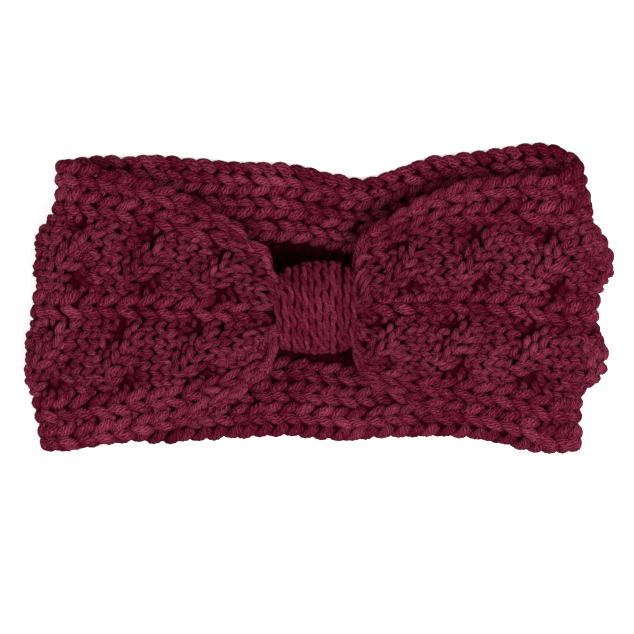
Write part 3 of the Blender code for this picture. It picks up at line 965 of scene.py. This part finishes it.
def edge_strands():
    """Centres, ways out and thickness of the strands that turn over each edge, and their painted highlight,
    given as a height.
    """
    chance = np.random.default_rng(51)
    centres, ups, sizes, raised = [], [], [], []
    turn = np.linspace(-1.0, 1.0, EDGE_RINGS)
    for edge in (0.0, 1.0):
        inside = abs(edge - EDGE_INSIDE)
        rim = abs(edge - EDGE_RIM)
        knots = round_distances(inside, 0)
        rows = np.linspace(0.0, knots[-1], round(knots[-1] / EDGE_PITCH))
        rows = rows + chance.normal(0.0, EDGE_UNEVENNESS, len(rows))
        distance = rows[:, None] + turn[None, :] * EDGE_LEAN
        run = to_run(distance, knots)
        middle = (cloth(run, rim, 1) + cloth(run, rim, -1)) / 2
        behind = (cloth(run, inside, 1) + cloth(run, inside, -1)) / 2
        ahead = cloth(run + RUN_STEP, rim, 1) - cloth(run - RUN_STEP, rim, 1)
        aside = unit(middle - behind)
        out = unit(np.cross(ahead, aside)) * (1.0 if edge == 1.0 else -1.0)
        angle = turn[None, :, None] * EDGE_ARC
        from_back = np.abs(run - (BACK + LEFT_TURN) / 2)
        on_back = np.clip((LEFT_ARM - RIGHT_TURN) / 2 - from_back, 0.0, 1.0)
        size = FRONT_EDGE_SHARE + (1.0 - FRONT_EDGE_SHARE) * on_back
        reach = EDGE_REACH * chance.normal(1.0, REACH_UNEVENNESS, (len(rows), 1, 1)) * size[..., None]
        arc = aside * np.cos(angle) * reach + out * np.sin(angle) * reach * EDGE_FLATNESS
        centres.append(middle - aside * EDGE_INWARD + arc)
        ups.append(unit(aside * np.cos(angle) + out * np.sin(angle)))
        sizes.append(EDGE_RADIUS * size)
        # Painted highlight on the edge stitches along the front.
        raised.append(EDGE_HIGHLIGHT * (1.0 - on_back))
    return [np.concatenate(parts) for parts in (centres, ups, sizes, raised)]


edge_centres, edge_ups, edge_size, edge_highlight = edge_strands()
edge_stitches = yarn_piece(
    "edge_stitches",
    edge_centres,
    edge_ups,
    edge_size,
    edge_size * EDGE_DEPTH_SHARE,
    band_yarn,
    EDGE_SIDES,
    np.random.default_rng(52),
    edge_highlight,
)

# The wrap.
# One thick yarn wound twelve times round the gathered cloth, side by side, with a turn here and there
# crossing its neighbour. It holds the gathers by its own tightness, and hides the join.
WRAP_TURNS = 12
WRAP_PLIES = 2
PLY_RADIUS = 0.00088
PLY_OFFSET = 0.00058
PLY_TWIST = 0.0100
WRAP_SWAY = 0.036
SWAY_WAVES = (7, 11)
PHASE_SPREAD = 0.7
SWELL_PHASE = 1.7
DRIFT_WAVES = 3.0
DRIFT_SPREAD = 0.014
LEAN_MIDDLE = 0.05
LEAN_TAPER = 0.07
LEAN_SPREAD = 0.015
LIFT_SWAY = 0.00035
WINDING_REACH = 0.93
WINDING_LIMIT = 0.96
PLY_LINES = 5.0
PLY_LINE_SHARE = 0.15
WRAP_YARN_RADIUS = PLY_RADIUS + PLY_OFFSET
WRAP_RINGS = 200
WRAP_SIDES = 6
CORE_STEPS = 48
CORE_BANDS = 24
CORE_REACH = 0.97
CORE_DEPTH = 1.4 * WRAP_YARN_RADIUS

# Ramp colours of the wound yarn. The palest is the lighter fibres with painted sheen on them.
WRAP_LIGHT = (0.246, 0.0390, 0.0780, 1.0)
WRAP_MIDDLE = (0.084, 0.0050, 0.0162, 1.0)
WRAP_DARK = (0.026, 0.0008, 0.0034, 1.0)


def wrap_section(along, angle, share, lift):
    """Points round the bundle at a share of the wrap's wall, and the way out there."""
    x = along * WRAP_LENGTH / 2
    top, bottom = front_edges(x)
    half_width = (top - bottom) / 2 + CLEARANCE
    half_thickness = BUNDLE_THICKNESS / 2 + CLEARANCE
    y = (top + bottom) / 2 + half_width * np.cos(angle)
    rim = np.stack([x, y, KNOT_HEIGHT + half_thickness * np.sin(angle)], axis=-1)
    out = [np.zeros_like(y), np.cos(angle) / half_width, np.sin(angle) / half_thickness]
    out = unit(np.stack(out, axis=-1))
    wall = wrap_wall(along, angle) * share + lift
    return rim + SHIFT + out * wall[..., None], out


def wrap_core():
    """The inside of the winding, coloured dark as painted shade, with a hole for the gathered cloth."""
    angle = np.linspace(0.0, 2.0 * math.pi, CORE_STEPS, endpoint=False)[:, None] + np.zeros(CORE_BANDS)
    along = np.linspace(-CORE_REACH, CORE_REACH, CORE_BANDS)[None, :] + np.zeros((CORE_STEPS, 1))
    skin, _ = wrap_section(along, angle, 1.0, -CORE_DEPTH)
    inside, _ = wrap_section(along[:, ::-1], angle, 0.0, -CORE_DEPTH)
    return ring_skin("wrap_core", np.concatenate([skin, inside], axis=1), painted_shade_cloth_finish())


def wrap_plies():
    """Centres and ways out of the twisted plies of every turn. Each turn sways, so it meets its neighbours
    and parts from them."""
    chance = np.random.default_rng(61)
    turns = np.arange(WRAP_TURNS)[:, None]
    places = np.linspace(-WINDING_REACH, WINDING_REACH, WRAP_TURNS)[:, None]
    angle = np.linspace(0.0, 2.0 * math.pi, WRAP_RINGS)[None, :] - math.pi / 2
    angle = angle + np.zeros((WRAP_TURNS, 1))
    lean = LEAN_MIDDLE - LEAN_TAPER * places + chance.normal(0.0, LEAN_SPREAD, (WRAP_TURNS, 1))
    phase = math.pi * turns + chance.normal(0.0, PHASE_SPREAD, (WRAP_TURNS, 1))
    waves = chance.integers(*SWAY_WAVES, (WRAP_TURNS, 1))
    drift = chance.normal(0.0, DRIFT_SPREAD, (WRAP_TURNS, 1)) * np.sin(DRIFT_WAVES * angle)
    swell = 0.5 + 0.5 * np.sin(2.0 * angle + SWELL_PHASE * phase)
    sway = WRAP_SWAY * np.sin(waves * angle + phase) * swell + drift
    along = np.clip(places - lean * np.cos(angle) + sway, -WINDING_LIMIT, WINDING_LIMIT)
    lift = -WRAP_YARN_RADIUS + LIFT_SWAY * np.sin(2.0 * angle + phase)
    path, out = wrap_section(along, angle, 1.0, lift)
    ahead = unit(np.gradient(path, axis=1))
    aside = unit(np.cross(ahead, out))
    steps = np.linalg.norm(np.diff(path, axis=1), axis=-1)
    length = np.concatenate([np.zeros((WRAP_TURNS, 1)), np.cumsum(steps, axis=1)], axis=1)
    twist = 2.0 * math.pi * (length / PLY_TWIST + chance.uniform(0.0, 1.0, (WRAP_TURNS, 1)))
    centres, ups = [], []
    for ply in range(WRAP_PLIES):
        turned = (twist + 2.0 * math.pi * ply / WRAP_PLIES)[..., None]
        away = aside * np.cos(turned) + out * np.sin(turned)
        centres.append(path + away * PLY_OFFSET)
        ups.append(out)
    return np.concatenate(centres), np.concatenate(ups)


wrap_yarn = yarn_finish("wrap_yarn_wound", WRAP_DARK, WRAP_MIDDLE, WRAP_LIGHT, PLY_LINES, PLY_LINE_SHARE)
core = wrap_core()
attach(core, "root")
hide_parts("centre_wrap")
wound_centres, wound_ups = wrap_plies()
wound_size = np.full(wound_centres.shape[:2], PLY_RADIUS)
wound_yarn = yarn_piece(
    "wound_yarn",
    wound_centres,
    wound_ups,
    wound_size,
    wound_size,
    wrap_yarn,
    WRAP_SIDES,
    np.random.default_rng(62),
)

# The studio.
# A plain white floor, soft light from the left and right, a stronger one from the lower right, and a camera
# that looks straight down from far off.
FLOOR_SIZE = 3.0
FLOOR_DROP = 0.0003
FLOOR_GLOW = 0.35
FRAME_WIDTH = 0.2346
VIEW_CENTRE = (0.0007, -0.0070)
CAMERA_HEIGHT = 1.6
SENSOR = 36.0
LIGHT_TILT = math.radians(42)
LIGHT_DISTANCE = 1.3
LIGHT_SIZE = 0.7
SIDE_POWER = 11.0
KEY_POWER = 24.0
KEY_PLACE = (0.38, -0.48, 1.50)
KEY_SIZE = 0.45
SKY = 0.22


def studio_floor():
    half = FLOOR_SIZE / 2
    corners = np.array([[-half, -half], [half, -half], [half, half], [-half, half]])
    corners = np.column_stack([corners, np.full(len(corners), -FLOOR_DROP)])
    finish = Finish("studio_floor")
    finish.shader.inputs["Base Color"].default_value = (0.92, 0.92, 0.92, 1.0)
    finish.shader.inputs["Emission Color"].default_value = (1.0, 1.0, 1.0, 1.0)
    finish.shader.inputs["Emission Strength"].default_value = FLOOR_GLOW
    finish.shader.inputs["Roughness"].default_value = 0.9
    finish.shader.inputs["Specular IOR Level"].default_value = 0.1
    return mesh_piece("floor", corners, [(0, 1, 2, 3)], finish.material)


def soft_light(name, place, size, power):
    data = bpy.data.lights.new(name, "AREA")
    data.size = size
    data.energy = power
    light = bpy.data.objects.new(name, data)
    light.location = place
    towards = -light.location
    light.rotation_euler = towards.to_track_quat("-Z", "Y").to_euler()
    bpy.context.scene.collection.objects.link(light)


studio_floor()
reach = LIGHT_DISTANCE * math.sin(LIGHT_TILT)
rise = LIGHT_DISTANCE * math.cos(LIGHT_TILT)
soft_light("left_light", (-reach, 0.0, rise), LIGHT_SIZE, SIDE_POWER)
soft_light("right_light", (reach, 0.0, rise), LIGHT_SIZE, SIDE_POWER)
soft_light("key_light", KEY_PLACE, KEY_SIZE, KEY_POWER)

world = bpy.data.worlds.new("studio")
world.use_nodes = True
world.node_tree.nodes["Background"].inputs["Color"].default_value = (1.0, 1.0, 1.0, 1.0)
world.node_tree.nodes["Background"].inputs["Strength"].default_value = SKY
bpy.context.scene.world = world

lens_data = bpy.data.cameras.new("camera")
lens_data.sensor_width = SENSOR
lens_data.lens = SENSOR * CAMERA_HEIGHT / FRAME_WIDTH
lens_data.clip_end = 10.0
camera = bpy.data.objects.new("camera", lens_data)
camera.location = (VIEW_CENTRE[0], VIEW_CENTRE[1], CAMERA_HEIGHT + TURN_HEIGHT)
bpy.context.scene.collection.objects.link(camera)
bpy.context.scene.camera = camera
bpy.context.scene.view_settings.view_transform = "Standard"
